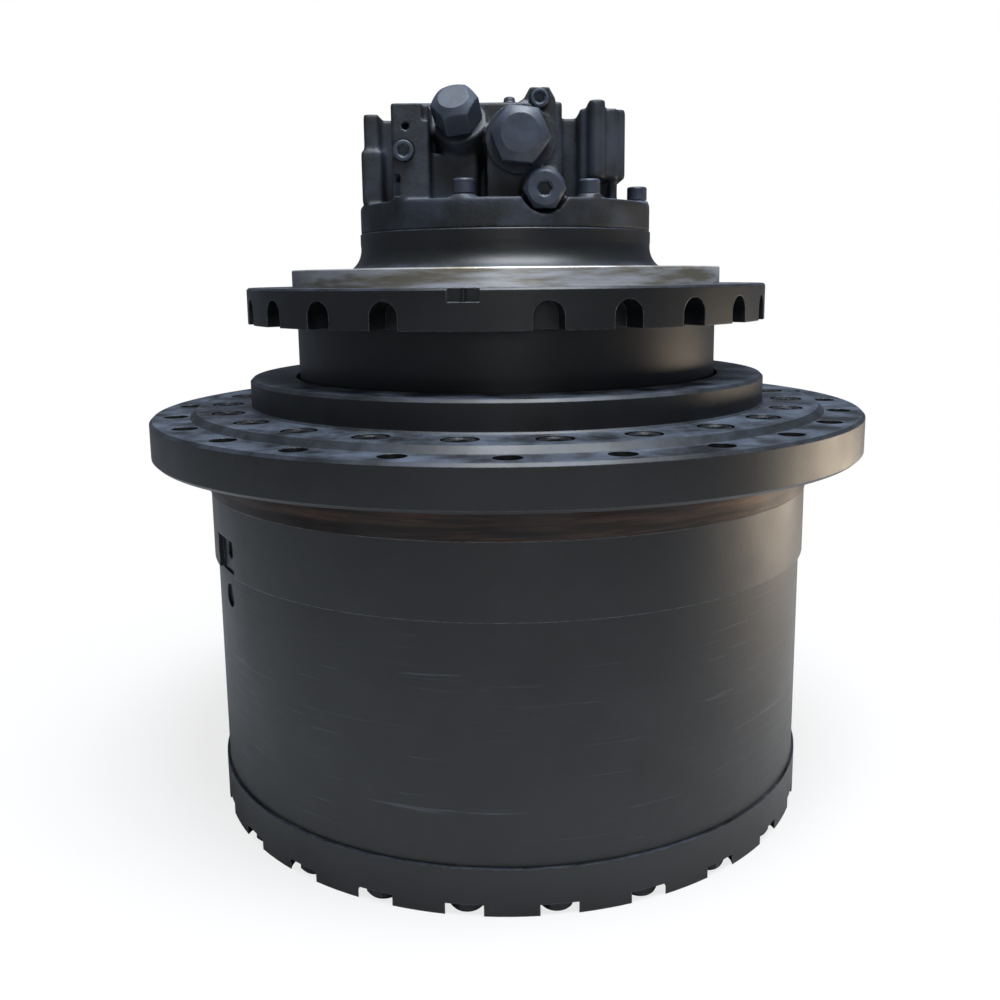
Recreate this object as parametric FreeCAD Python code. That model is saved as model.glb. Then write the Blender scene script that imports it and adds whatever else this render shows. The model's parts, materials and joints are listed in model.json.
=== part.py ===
import FreeCAD, Part
import math
import os

# Excavator track final drive: a hydraulic motor and a two-stage planetary gear in one unit.
# It stands on its end cover. +Z runs from the outboard end (cover) to the inboard end (motor head).
# The origin is the centre of the face it stands on. All lengths are millimetres.
#
# Held still by the track frame: spindle, motor, output carrier.
# Turns with the sprocket (the drum): hub, ring gear, end cover.

Vector = FreeCAD.Vector
UP = Vector(0, 0, 1)
FRONT = -90.0  # direction, in degrees about +Z, that the valve side of the motor head faces

# ---- clearances ----
press_gap = 0.05        # radial, between a pin or ring and the seat it is fixed in
running_gap = 0.3       # between surfaces that slide or turn past each other
thread_gap = 0.1        # radial, between a screw and its hole
face_gap = 0.1          # between lapped faces that seal on oil
end_gap = 0.5           # axial float of gears and thrust faces
cast_gap = 6.0          # room between a cast part and what turns beside it

# ---- drum heights, from the bottom up ----
cover_height = 45.0
ring_gear_length = 224.0
hub_skirt_height = 70.0
sprocket_pilot_height = 36.0
sprocket_flange_thickness = 40.0
land_height = 6.5
shoulder_height = 30.0

# ---- spindle and motor heights ----
neck_height = 57.5
frame_flange_thickness = 36.5
frame_pilot_height = 17.5
motor_barrel_height = 37.5
head_flange_thickness = 28.5

# ---- outside radii ----
cover_radius = 322.5
ring_gear_radius = 319.5
hub_skirt_radius = 323.0
sprocket_pilot_radius = 324.0
sprocket_flange_radius = 380.0
land_radius = 337.0
shoulder_radius = 277.5
frame_flange_radius = 277.0
frame_pilot_radius = 230.0
barrel_foot_radius = 168.0
barrel_radius = 156.5
head_flange_radius = 155.5
rim_chamfer = 3.0
edge_break = 2.0                # small chamfer on turned edges
joint_break = 1.0               # chamfer that shows a joint as a fine groove

# ---- bolt rows ----
drum_bolt_count = 24
drum_screw_circle = 304.0       # radius of the row that clamps hub, ring gear and cover
drum_screw_phase = 7.5
drum_screw_radius = 10.0        # M20
drum_screw_head_radius = 15.0
drum_screw_head_height = 20.0
drum_screw_engagement = 42.0
counterbore_radius = drum_screw_head_radius + 2.0
cover_bolt_flats = 30.0
cover_bolt_head_height = 10.0
cover_bolt_engagement = 34.0
cover_notch_radius = 25.0
cover_notch_depth = cover_bolt_head_height + 0.5
sprocket_bolt_circle = sprocket_flange_radius - 26.0
sprocket_hole_radius = 12.5
frame_bolt_circle = frame_flange_radius - 17.0
frame_hole_radius = 9.0
frame_pocket_width = 27.6
frame_pocket_height = 25.6
frame_pocket_floor_radius = frame_flange_radius - 30.0
index_notch_width = 28.0
index_notch_height = 12.0
index_notch_depth = 5.0
index_pin_radius = 2.0

# ---- end cover and the drum's side ports ----
cover_recess = 6.0              # the cover stands on its rim; its middle is this much higher
cover_floor_thickness = 20.0
cover_rim_wall = 11.0
cover_plug_count = 3
cover_plug_circle = 200.0
cover_plug_radius = 18.0
cover_plug_thickness = 14.0
plug_socket_flats = 17.0
plug_socket_depth = 9.0
thrust_pad_radius = 40.0
thrust_plate_margin = 8.0
thrust_plate_thickness = 6.0
side_port_angle = 210.0
side_port_depth = 26.0
side_plug_recess = 3.0
ring_port_radius = 12.0
ring_port_drop = 24.0           # below the joint of ring gear and hub
hub_port_radius = 9.0
hub_port_rise = 22.0            # above that joint
hub_flat_width = 52.0
hub_flat_height = 36.0
hub_flat_depth = 6.0

# ---- gear train ----
gear_module = 10.0
pressure_angle = math.radians(25.0)
backlash = 0.6
ring_teeth = 54
first_sun_teeth = 12
first_planet_teeth = 21
first_planet_count = 3
first_planet_azimuth = 90.0
second_sun_teeth = 14
second_planet_teeth = 20
second_planet_count = 4
second_planet_azimuth = 45.0
first_face_width = 60.0
second_face_width = 91.0
spigot_radius = 284.0
spigot_height = 8.0
spigot_wall = 22.0

# ---- carriers and planet pins ----
first_plate_thickness = 16.0
first_carrier_radius = 240.0
first_post_circle = 190.0
first_post_radius = 42.0
first_pin_radius = 30.0
second_lower_plate_thickness = 18.0
second_upper_plate_thickness = 26.0
second_carrier_radius = 250.0
second_post_circle = 205.0
second_post_radius = 32.0
second_pin_radius = 36.0
planet_bush_wall = 8.0
carrier_bolt_circle = 155.0
carrier_bolt_radius = 8.0
carrier_bolt_head_radius = 12.0
carrier_bolt_head_height = 16.0
carrier_bolt_engagement = 28.0
carrier_bolt_spread = 14.0      # degrees from the middle of a post
first_carrier_lift = 2.0

# ---- shafts ----
drive_shaft_radius = 30.0
sun_bore_radius = 36.0
motor_shaft_radius = 25.0
shaft_coupling_radius = 44.0
coupling_clearance = 6.0        # from the spindle's lower end to the coupling sleeve
coupling_end_wall = 12.0
shaft_front_float = 2.0

# ---- main bearings and floating seal ----
bearing_bore_radius = 190.0
bearing_race_wall = 13.0
bearing_roller_thickness = 24.0
bearing_outer_radius = bearing_bore_radius + 2 * bearing_race_wall + bearing_roller_thickness
bearing_width = 46.0
bearing_spread = 94.0           # from the bottom of the lower bearing to the bottom of the upper one
bearing_roller_height = 24.0
bearing_seat_relief = 4.0
bearing_nut_clearance = 1.0
bearing_nut_wall = 21.0
bearing_nut_slot_count = 8
bearing_nut_slot_width = 16.0
hub_land_radius = bearing_outer_radius - bearing_race_wall + 2.0
bearing_nut_height = 17.0
seal_ring_inner_radius = bearing_bore_radius + bearing_race_wall + 6.0
seal_ring_outer_radius = seal_ring_inner_radius + 12.0
seal_ring_height = 5.0
seal_ring_fixed_height = 6.9
seal_room = 3.0                 # radial room inside the seal rings
seal_skirt_gap = 1.0
seal_skirt_wall = 4.0
seal_skirt_lift = 7.0
seal_housing_floor = 4.0
seal_housing_height = 11.5
neck_radius = seal_ring_outer_radius + seal_skirt_gap + seal_skirt_wall

# ---- motor inside the spindle ----
motor_cavity_radius = 125.0
spindle_floor = 58.0
shaft_bearing_height = 25.0
front_bearing_radius = 65.0
shaft_opening_radius = 56.0
swash_radius = 104.0
swash_height = 44.0
swash_belly_radius = 190.0
swash_belly_depth = 36.0        # from the swash plate's face down to the lowest line of its rocking back
swash_cradle_drop = 20.0        # from the swash plate's face down to the rim of its cradle
shoe_height = 8.0
shoe_flange = 4.0
cylinder_block_radius = 88.0
block_clearance = 26.0          # between the slipper shoes and the cylinder block
valve_plate_thickness = 8.0
valve_plate_margin = 2.0
kidney_half_width = 7.0
kidney_bridge = 22.0            # half the land between the two kidney ports
piston_count = 9
piston_radius = 12.0
piston_circle = 60.0
piston_engagement = 70.0
cylinder_bore_floor = 18.0
brake_plate_thickness = 5.0
brake_plate_gap = 0.4
brake_plate_rim = 8.0           # how far the inner and the outer plates stand clear of the other's seat
brake_stack_lift = 18.0
friction_plate_count = 2
brake_piston_height = 26.0
brake_spring_count = 8
brake_spring_radius = 8.0
brake_spring_wall = 3.0

# ---- motor head: a casting on a round flange; heights are over the flange's deck ----
head_bolt_circle = 142.0
head_bolt_radius = 7.0
head_bolt_head_radius = 10.5
head_bolt_head_height = 14.0
head_bolt_engagement = 26.0
head_bolt_socket_flats = 12.0
head_bolt_seat = 4.0            # height of the cast pad under each bolt
head_bolt_room = 1.5
head_bolt_angles = [FRONT + turn for turn in (-44.5, -16.0, 35.5, 82.0, 125.0, 165.0, 205.0, -94.0)]
shaft_nose = 20.0               # how far the motor shaft reaches into the head

cast_radius = 3.0               # rounding of the casting's upright edges
core_left, core_right = -100.0, 58.0
core_front, core_back = -80.0, 70.0
core_height = 97.0
core_knob_x, core_knob_radius, core_knob_height = 5.5, 6.0, 8.0

lug_left, lug_right = -143.5, -127.5
lug_front, lug_back = -60.0, 30.0
lug_height, lug_step_height, lug_step = 89.5, 53.0, 3.0
web_right, web_front, web_height = -95.0, -42.0, 86.0

pad_left, pad_right = -109.0, -72.5
pad_face = -120.0
pad_height = 90.5
pad_notch_width, pad_notch_height, pad_notch_depth = 6.0, 16.0, 8.0
pad_hole_x, pad_hole_height, pad_hole_radius = -95.0, 69.0, 3.7
pad_plug_x, pad_plug_height, pad_plug_radius = -97.0, 46.0, 10.0

column_right = -26.0
column_front, column_height = -102.0, 46.0
relief_seat = (-44.3, -100.0, 76.0)
relief_direction = (-0.14, -0.78, 0.61)
relief_boss_radius, relief_boss_length = 28.0, 48.0
relief_bore_radius = 14.0
relief_cap_flats, relief_cap_height, relief_thread_length = 41.0, 31.0, 25.0

valve_x, valve_height = 15.0, 56.0
valve_face = -125.0
valve_plate_step = 3.0          # how far the round boss stands proud of the pad
valve_pad_depth = 65.0
valve_boss_radius = 33.0
valve_pad_left, valve_pad_right, valve_pad_shoulder = -17.0, 52.0, 74.0
valve_bore_radius = 14.0
valve_bore_end = 30.0
spool_cap_flats, spool_cap_height, spool_thread_length = 50.0, 38.0, 22.0
spool_cap_turn = -7.0
cap_corner, cap_end_face, cap_chamfer = 0.58, 0.36, 0.16    # shares of a hexagon cap's width over flats
spool_length = 78.0
spool_land, spool_stem_radius = 16.0, 8.0
spool_spring_length = 24.0
spool_spring_radius, spool_spring_wall = 11.0, 2.5
ear_x, ear_height = 34.0, 93.0
ear_half_width, ear_crest = 15.0, 10.5
ear_plug_radius = 9.0
plug_depth = 14.0
plug_proud = 5.0
deck_plug_x, deck_plug_height = 37.5, 7.0
deck_plug_face = -128.0
deck_plug_flats, deck_plug_length = 36.0, 26.0
deck_plug_bore, deck_plug_depth = 14.0, 18.0
deck_boss_radius = 22.0

block_right = 123.0
block_front, block_back = -64.0, 40.0
block_foot, block_height = 22.0, 91.0
rib_left, rib_right, rib_front = 75.5, 86.5, -72.0
round_rib_left, round_rib_right, round_rib_front, round_rib_height = 84.0, 101.0, -85.0, 98.0
round_rib_rounding = 8.0
outer_rib_left, outer_rib_right = 102.5, 114.0
strut_x, strut_y, strut_radius = 110.5, -58.0, 5.0

port_face = 112.0
port_wall_half_width = 80.0
port_spread, port_height, port_radius = 45.0, 45.0, 12.5
port_bore_end = 31.0
port_bolt_x, port_bolt_z, port_bolt_radius, port_bolt_depth = 27.8, 57.1, 5.1, 26.0
passage_radius = 8.0
drain_height, drain_radius, drain_depth = 62.0, 9.0, 30.0

# ---- levels worked out from the heights ----
ring_base = cover_height
ring_top = ring_base + ring_gear_length
sprocket_pilot_base = ring_top + hub_skirt_height
flange_base = sprocket_pilot_base + sprocket_pilot_height
flange_top = flange_base + sprocket_flange_thickness
land_top = flange_top + land_height
hub_top = land_top + shoulder_height
frame_flange_base = hub_top + neck_height
frame_face = frame_flange_base + frame_flange_thickness
spindle_shoulder = frame_face + frame_pilot_height
head_joint = spindle_shoulder + motor_barrel_height
head_deck = head_joint + head_flange_thickness

pitch_ring = gear_module * ring_teeth / 2
first_centre_distance = gear_module * (first_sun_teeth + first_planet_teeth) / 2
second_centre_distance = gear_module * (second_sun_teeth + second_planet_teeth) / 2

cover_inner_floor = cover_recess + cover_floor_thickness
teeth_base = ring_base + spigot_height
teeth_top = ring_top - spigot_height

first_carrier_base = ring_base + first_carrier_lift
first_planet_base = first_carrier_base + first_plate_thickness + end_gap
first_planet_top = first_planet_base + first_face_width
first_upper_plate_base = first_planet_top + end_gap
first_carrier_top = first_upper_plate_base + first_plate_thickness

second_carrier_base = first_carrier_top + cast_gap
second_planet_base = second_carrier_base + second_lower_plate_thickness + end_gap
second_planet_top = second_planet_base + second_face_width
second_upper_plate_base = second_planet_top + end_gap
spindle_base = second_upper_plate_base + second_upper_plate_thickness

lower_bearing_base = spindle_base + bearing_nut_height + bearing_nut_clearance
upper_bearing_base = lower_bearing_base + bearing_spread
upper_bearing_top = upper_bearing_base + bearing_width
motor_floor = spindle_base + spindle_floor
motor_shelf = motor_floor + shaft_bearing_height

thrust_pad_top = ring_base
shaft_bottom = thrust_pad_top + thrust_plate_thickness + end_gap
ring_port_level = ring_top - ring_port_drop
hub_port_level = ring_top + hub_port_rise
seal_face = upper_bearing_top + seal_housing_floor + seal_ring_height
seal_pocket_top = seal_face + face_gap + seal_ring_fixed_height

coupling_base = spindle_base + coupling_clearance
coupling_top = motor_floor - shaft_front_float
swash_face = motor_shelf + swash_height
belly_axis = swash_face - swash_belly_depth + swash_belly_radius
block_base = swash_face + shoe_height + block_clearance
block_top = head_joint - valve_plate_thickness - face_gap
brake_stack_base = block_base + brake_stack_lift
brake_stack_step = brake_plate_thickness + brake_plate_gap
brake_stack_top = brake_stack_base + (2 * friction_plate_count + 1) * brake_stack_step
brake_inner_radius = cylinder_block_radius + brake_plate_rim
brake_outer_radius = motor_cavity_radius - brake_plate_rim

valve_level = head_deck + valve_height
ear_level = head_deck + ear_height
port_level = head_deck + port_height
spool_front = valve_face + spool_thread_length + spool_spring_length


# ---- shape helpers ----
def turned(profile):
    """Solid of revolution about Z from a closed list of (radius, height) corners."""
    corners = [Vector(radius, 0, height) for radius, height in profile]
    face = Part.Face(Part.makePolygon(corners + corners[:1]))
    return face.revolve(Vector(0, 0, 0), UP, 360)


def disc(radius, bottom, top, x=0.0, y=0.0):
    return Part.makeCylinder(radius, top - bottom, Vector(x, y, bottom))


def ring(inner_radius, outer_radius, bottom, top):
    return disc(outer_radius, bottom, top).cut(disc(inner_radius, bottom, top))


def box(x_range, y_range, z_range):
    size = [high - low for low, high in (x_range, y_range, z_range)]
    return Part.makeBox(*size, Vector(x_range[0], y_range[0], z_range[0]))


def prism(corners, bottom, top):
    """Upright solid over a polygon of (x, y) corners."""
    points = [Vector(x, y, bottom) for x, y in corners]
    return Part.Face(Part.makePolygon(points + points[:1])).extrude(UP * (top - bottom))


def hexagon(flats, bottom, top):
    corner = flats / math.sqrt(3)
    turns = [math.radians(60 * side) for side in range(6)]
    return prism([(corner * math.cos(t), corner * math.sin(t)) for t in turns], bottom, top)


def placed(shape, circle, angle):
    """Copy of a shape made at the axis, moved out to a circle and turned to an angle in degrees."""
    copy = shape.copy()
    copy.translate(Vector(circle, 0, 0))
    copy.rotate(Vector(0, 0, 0), UP, angle)
    return copy


def row(shape, count, circle=0.0, phase=0.0):
    return [placed(shape, circle, phase + 360.0 * place / count) for place in range(count)]


def pointing(shape, base, direction):
    """Shape made upright at the origin, laid along a direction from a base point."""
    copy = shape.copy()
    turn = FreeCAD.Rotation(UP, Vector(*direction))
    copy.Placement = FreeCAD.Placement(Vector(*base), turn)
    return copy


def fused(shapes):
    first, *rest = shapes
    return first.fuse(rest).removeSplitter()


def group(shapes):
    return Part.makeCompound(shapes)


# ---- gear teeth ----
def involute(angle):
    return math.tan(angle) - angle


def tooth_half_angle(teeth, radius, thinning):
    """Half the angle that an involute tooth spans at a radius, its flanks moved in by thinning."""
    pitch_radius = gear_module * teeth / 2
    base_radius = pitch_radius * math.cos(pressure_angle)
    at_radius = math.acos(base_radius / max(radius, base_radius))
    half_pitch_tooth = (math.pi * gear_module / 2 - thinning) / 2 / pitch_radius
    return half_pitch_tooth + involute(pressure_angle) - involute(at_radius)


def tooth_outline(teeth, radii, thinning, turn):
    """Closed corner list round a gear: each flank passes through the involute at the given radii."""
    corners = []
    for tooth in range(teeth):
        middle = turn + 2 * math.pi * tooth / teeth
        halves = [(radius, tooth_half_angle(teeth, radius, thinning)) for radius in radii]
        rising = [(radius, middle - half) for radius, half in halves]
        falling = [(radius, middle + half) for radius, half in reversed(halves)]
        corners += [(r * math.cos(t), r * math.sin(t)) for r, t in rising + falling]
    return corners


def external_radii(teeth):
    pitch_radius = gear_module * teeth / 2
    return (pitch_radius - 1.25 * gear_module, pitch_radius, pitch_radius + gear_module)


def gear(teeth, bottom, top, turn):
    return prism(tooth_outline(teeth, external_radii(teeth), backlash / 2, turn), bottom, top)


def planet_turn(seat, sun_teeth, planet_teeth, sun_turn):
    """Turn of a planet at a seat angle whose teeth fall in the gaps of its sun."""
    return seat + math.pi - (sun_teeth * (sun_turn - seat) + math.pi) / planet_teeth


def planet(teeth, sun_teeth, sun_turn, centre_distance, seat, bottom, top, bore_radius):
    turn = planet_turn(seat, sun_teeth, teeth, sun_turn)
    wheel = gear(teeth, bottom, top, turn).cut(disc(bore_radius, bottom, top))
    wheel.translate(Vector(centre_distance * math.cos(seat), centre_distance * math.sin(seat), 0))
    return wheel


def seats(count, azimuth):
    return [math.radians(azimuth + 360.0 * place / count) for place in range(count)]


def sun_turn(sun_teeth, planet_teeth, azimuth):
    """Turn of a sun at which planets seated from an azimuth also mesh with a ring tooth on the X axis."""
    return ((ring_teeth + sun_teeth) * math.radians(azimuth) + math.pi * planet_teeth) / sun_teeth


first_sun_turn = sun_turn(first_sun_teeth, first_planet_teeth, first_planet_azimuth)
second_sun_turn = sun_turn(second_sun_teeth, second_planet_teeth, second_planet_azimuth)


# ---- drum: end cover, ring gear, hub ----
def end_cover():
    rim_inner = drum_screw_circle - cover_notch_radius - cover_rim_wall
    cavity_radius = spigot_radius - spigot_wall
    body = turned([
        (0, cover_recess),
        (rim_inner - cover_recess, cover_recess),
        (rim_inner, 0),
        (cover_radius, 0),
        (cover_radius, cover_height),
        (spigot_radius - press_gap, cover_height),
        (spigot_radius - press_gap, cover_height + spigot_height - end_gap),
        (cavity_radius, cover_height + spigot_height - end_gap),
        (cavity_radius, cover_inner_floor),
        (0, cover_inner_floor),
    ])
    notch = disc(cover_notch_radius, 0, cover_notch_depth)
    hole = disc(drum_screw_radius + thread_gap, 0, cover_height)
    cuts = row(notch.fuse(hole), drum_bolt_count, drum_screw_circle, drum_screw_phase)
    plug_hole = disc(cover_plug_radius, cover_recess, cover_inner_floor)
    cuts += row(plug_hole, cover_plug_count, cover_plug_circle, FRONT)
    pad = disc(thrust_pad_radius, cover_inner_floor, thrust_pad_top)
    return body.cut(cuts).fuse(pad).removeSplitter()


def cover_bolts():
    head = hexagon(cover_bolt_flats, cover_notch_depth - cover_bolt_head_height, cover_notch_depth)
    shank = disc(drum_screw_radius, cover_notch_depth, ring_base + cover_bolt_engagement)
    return group(row(head.fuse(shank), drum_bolt_count, drum_screw_circle, drum_screw_phase))


def cover_plugs():
    """Oil plugs, sunk in the floor so that nothing stands below the rim."""
    body = disc(cover_plug_radius - press_gap, cover_recess, cover_recess + cover_plug_thickness)
    socket = hexagon(plug_socket_flats, cover_recess, cover_recess + plug_socket_depth)
    return group(row(body.cut(socket), cover_plug_count, cover_plug_circle, FRONT))


def thrust_plate():
    radius = thrust_pad_radius - thrust_plate_margin
    return disc(radius, thrust_pad_top, thrust_pad_top + thrust_plate_thickness)


def side_port(radius, wall_radius, height):
    """Hole that runs in from the drum's side."""
    return side_pin(radius, wall_radius - side_port_depth, wall_radius + side_port_depth, height)


def side_pin(radius, inner, outer, height):
    """Cylinder that lies along the drum's radius at the side ports."""
    pin = Part.makeCylinder(radius, outer - inner, Vector(inner, 0, height), Vector(1, 0, 0))
    return placed(pin, 0, side_port_angle)


def ring_gear():
    tip_radius = pitch_ring - gear_module
    root_radius = pitch_ring + 1.25 * gear_module
    half_pitch = math.pi / ring_teeth
    hollow = tooth_outline(ring_teeth, (tip_radius, pitch_ring, root_radius), -backlash / 2, half_pitch)
    body = disc(ring_gear_radius, ring_base, ring_top).cut(prism(hollow, ring_base, ring_top))
    counterbores = [
        disc(spigot_radius, ring_base, teeth_base),
        disc(spigot_radius, teeth_top, ring_top),
    ]
    hole = disc(drum_screw_radius + thread_gap, ring_base, ring_top)
    holes = row(hole, drum_bolt_count, drum_screw_circle, drum_screw_phase)
    port = side_port(ring_port_radius, ring_gear_radius, ring_port_level)
    return body.cut(counterbores + holes + [port])


def hub():
    spigot = spigot_radius - press_gap
    spigot_base = ring_top - spigot_height + end_gap
    seat = bearing_outer_radius + press_gap
    skirt_bore = second_carrier_radius + 2 * cast_gap
    bearing_floor = lower_bearing_base - bearing_seat_relief
    body = turned([
        (spigot, spigot_base),
        (spigot, ring_top),
        (hub_skirt_radius, ring_top),
        (hub_skirt_radius, sprocket_pilot_base),
        (sprocket_pilot_radius, sprocket_pilot_base),
        (sprocket_pilot_radius, flange_base),
        (sprocket_flange_radius - rim_chamfer, flange_base),
        (sprocket_flange_radius, flange_base + rim_chamfer),
        (sprocket_flange_radius, flange_top - rim_chamfer),
        (sprocket_flange_radius - rim_chamfer, flange_top),
        (land_radius + land_height / 2, flange_top),
        (land_radius, flange_top + land_height / 2),
        (land_radius - land_height / 2, land_top),
        (shoulder_radius + edge_break, land_top),
        (shoulder_radius, land_top + edge_break),
        (shoulder_radius, hub_top - rim_chamfer),
        (shoulder_radius - rim_chamfer, hub_top),
        (seat, hub_top),
        (seat, upper_bearing_base),
        (hub_land_radius, upper_bearing_base),
        (hub_land_radius, lower_bearing_base + bearing_width),
        (seat, lower_bearing_base + bearing_width),
        (seat, bearing_floor),
        (skirt_bore, bearing_floor),
        (skirt_bore, spigot_base),
    ])
    screw_hole = fused([
        disc(drum_screw_radius + thread_gap, spigot_base, land_top),
        disc(counterbore_radius, land_top - drum_screw_head_height, land_top),
    ])
    sprocket_hole = disc(sprocket_hole_radius, flange_base, flange_top)
    cuts = row(screw_hole, drum_bolt_count, drum_screw_circle, drum_screw_phase)
    cuts += row(sprocket_hole, drum_bolt_count, sprocket_bolt_circle)
    flat = box(
        (hub_skirt_radius - hub_flat_depth, hub_skirt_radius + hub_flat_depth),
        (-hub_flat_width / 2, hub_flat_width / 2),
        (ring_top, ring_top + hub_flat_height),
    )
    cuts.append(placed(flat, 0, side_port_angle))
    cuts.append(side_port(hub_port_radius, hub_skirt_radius, hub_port_level))
    return body.cut(cuts)


def socket_screw(head_radius, seat, head_height, shank_radius, shank_end, socket_flats):
    """Cap screw whose head stands on a seat and whose shank runs down from it."""
    top = seat + head_height
    head = disc(head_radius, seat, top).cut(hexagon(socket_flats, seat + head_height / 2, top))
    return head.fuse(disc(shank_radius, shank_end, seat))


def hub_screws():
    screw = socket_screw(drum_screw_head_radius, land_top - drum_screw_head_height, drum_screw_head_height,
                         drum_screw_radius, ring_top - drum_screw_engagement, plug_socket_flats)
    return group(row(screw, drum_bolt_count, drum_screw_circle, drum_screw_phase))


def side_plugs():
    """Plugs of the level port in the ring gear and of the port in the hub's milled flat."""
    ring_plug = side_pin(ring_port_radius - press_gap, ring_gear_radius - side_port_depth,
                         ring_gear_radius - side_plug_recess, ring_port_level)
    hub_plug = side_pin(hub_port_radius - press_gap, hub_skirt_radius - side_port_depth,
                        hub_skirt_radius - hub_flat_depth - side_plug_recess, hub_port_level)
    return group([ring_plug, hub_plug])


# ---- planetary stages ----
def drive_shaft():
    """Long shaft from the motor with the first sun cut on its outboard end."""
    shaft = disc(drive_shaft_radius, shaft_bottom, coupling_base)
    sun = gear(first_sun_teeth, first_planet_base, first_planet_top, first_sun_turn)
    return shaft.fuse(sun)


def second_sun():
    bottom = first_upper_plate_base
    top = second_upper_plate_base + cast_gap
    return gear(second_sun_teeth, bottom, top, second_sun_turn).cut(disc(sun_bore_radius, bottom, top))


def first_carrier():
    """Two plates on three posts; the second sun's teeth run down into a spline in the upper plate."""
    lower = ring(gear_module * first_sun_teeth / 2 + gear_module + cast_gap, first_carrier_radius,
                 first_carrier_base, first_planet_base - end_gap)
    spline_radii = [radius + 2 * press_gap for radius in external_radii(second_sun_teeth)]
    spline = prism(tooth_outline(second_sun_teeth, spline_radii, -2 * press_gap, second_sun_turn),
                   first_upper_plate_base, first_carrier_top)
    upper = disc(first_carrier_radius, first_upper_plate_base, first_carrier_top).cut(spline)
    post = disc(first_post_radius, first_planet_base - end_gap, first_upper_plate_base)
    posts = row(post, first_planet_count, first_post_circle,
                first_planet_azimuth + 180.0 / first_planet_count)
    pin_hole = disc(first_pin_radius + press_gap, first_carrier_base, first_carrier_top)
    pin_holes = row(pin_hole, first_planet_count, first_centre_distance, first_planet_azimuth)
    return fused([lower, upper] + posts).cut(pin_holes)


def first_pins():
    pin = disc(first_pin_radius, first_carrier_base, first_carrier_top)
    return group(row(pin, first_planet_count, first_centre_distance, first_planet_azimuth))


def bushes(pin_radius, bottom, top):
    return ring(pin_radius + press_gap, pin_radius + planet_bush_wall, bottom, top)


def first_planet_bushes():
    bush = bushes(first_pin_radius, first_planet_base, first_planet_top)
    return group(row(bush, first_planet_count, first_centre_distance, first_planet_azimuth))


def second_planet_bushes():
    bush = bushes(second_pin_radius, second_planet_base, second_planet_top)
    return group(row(bush, second_planet_count, second_centre_distance, second_planet_azimuth))


def first_planets():
    bore = first_pin_radius + planet_bush_wall + running_gap
    return [
        planet(first_planet_teeth, first_sun_teeth, first_sun_turn, first_centre_distance, seat,
               first_planet_base, first_planet_top, bore)
        for seat in seats(first_planet_count, first_planet_azimuth)
    ]


def output_carrier():
    """Fixed carrier of the second stage: two plates on four posts, bolted to the spindle."""
    bore = gear_module * second_sun_teeth / 2 + gear_module + cast_gap
    lower = ring(bore, second_carrier_radius, second_carrier_base, second_planet_base - end_gap)
    upper = ring(bore, second_carrier_radius, second_upper_plate_base, spindle_base)
    post = disc(second_post_radius, second_planet_base - end_gap, second_upper_plate_base)
    posts = row(post, second_planet_count, second_post_circle,
                second_planet_azimuth + 180.0 / second_planet_count)
    pin_hole = disc(second_pin_radius + press_gap, second_carrier_base, spindle_base)
    cuts = row(pin_hole, second_planet_count, second_centre_distance, second_planet_azimuth)
    bolt_hole = fused([
        disc(carrier_bolt_radius + thread_gap, second_upper_plate_base, spindle_base),
        disc(carrier_bolt_head_radius + end_gap, second_upper_plate_base,
             second_upper_plate_base + carrier_bolt_head_height),
    ])
    cuts += [placed(bolt_hole, carrier_bolt_circle, angle) for angle in carrier_bolt_angles()]
    return fused([lower, upper] + posts).cut(cuts)


def carrier_bolt_angles():
    """Two bolts beside each post of the output carrier."""
    middles = [second_planet_azimuth + 180.0 / second_planet_count + 360.0 * place / second_planet_count
               for place in range(second_planet_count)]
    return [middle + side * carrier_bolt_spread for middle in middles for side in (-1, 1)]


def carrier_bolts():
    base = second_upper_plate_base
    head = disc(carrier_bolt_head_radius, base, base + carrier_bolt_head_height)
    shank = disc(carrier_bolt_radius, base + carrier_bolt_head_height,
                 spindle_base + carrier_bolt_engagement)
    bolt = head.fuse(shank)
    return group([placed(bolt, carrier_bolt_circle, angle) for angle in carrier_bolt_angles()])


def second_pins():
    pin = disc(second_pin_radius, second_carrier_base, spindle_base)
    return group(row(pin, second_planet_count, second_centre_distance, second_planet_azimuth))


def second_planets():
    bore = second_pin_radius + planet_bush_wall + running_gap
    return [
        planet(second_planet_teeth, second_sun_teeth, second_sun_turn, second_centre_distance, seat,
               second_planet_base, second_planet_top, bore)
        for seat in seats(second_planet_count, second_planet_azimuth)
    ]


# ---- main bearings and seal ----
def bearing_inner_races():
    inner, outer = bearing_bore_radius + press_gap, bearing_bore_radius + bearing_race_wall
    return group([ring(inner, outer, base, base + bearing_width)
                  for base in (lower_bearing_base, upper_bearing_base)])


def bearing_outer_races():
    inner = bearing_outer_radius - bearing_race_wall
    return group([ring(inner, bearing_outer_radius, base, base + bearing_width)
                  for base in (lower_bearing_base, upper_bearing_base)])


def bearing_rollers(base):
    inner = bearing_bore_radius + bearing_race_wall + running_gap
    outer = bearing_outer_radius - bearing_race_wall - running_gap
    bottom = base + (bearing_width - bearing_roller_height) / 2
    return ring(inner, outer, bottom, bottom + bearing_roller_height)


def bearing_nut():
    top = lower_bearing_base
    bottom = top - bearing_nut_height
    nut = ring(bearing_bore_radius + press_gap, bearing_bore_radius + bearing_nut_wall, bottom, top)
    slot = box((bearing_bore_radius + bearing_race_wall, bearing_outer_radius),
               (-bearing_nut_slot_width / 2, bearing_nut_slot_width / 2), (bottom, top))
    return nut.cut(row(slot, bearing_nut_slot_count))


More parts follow.
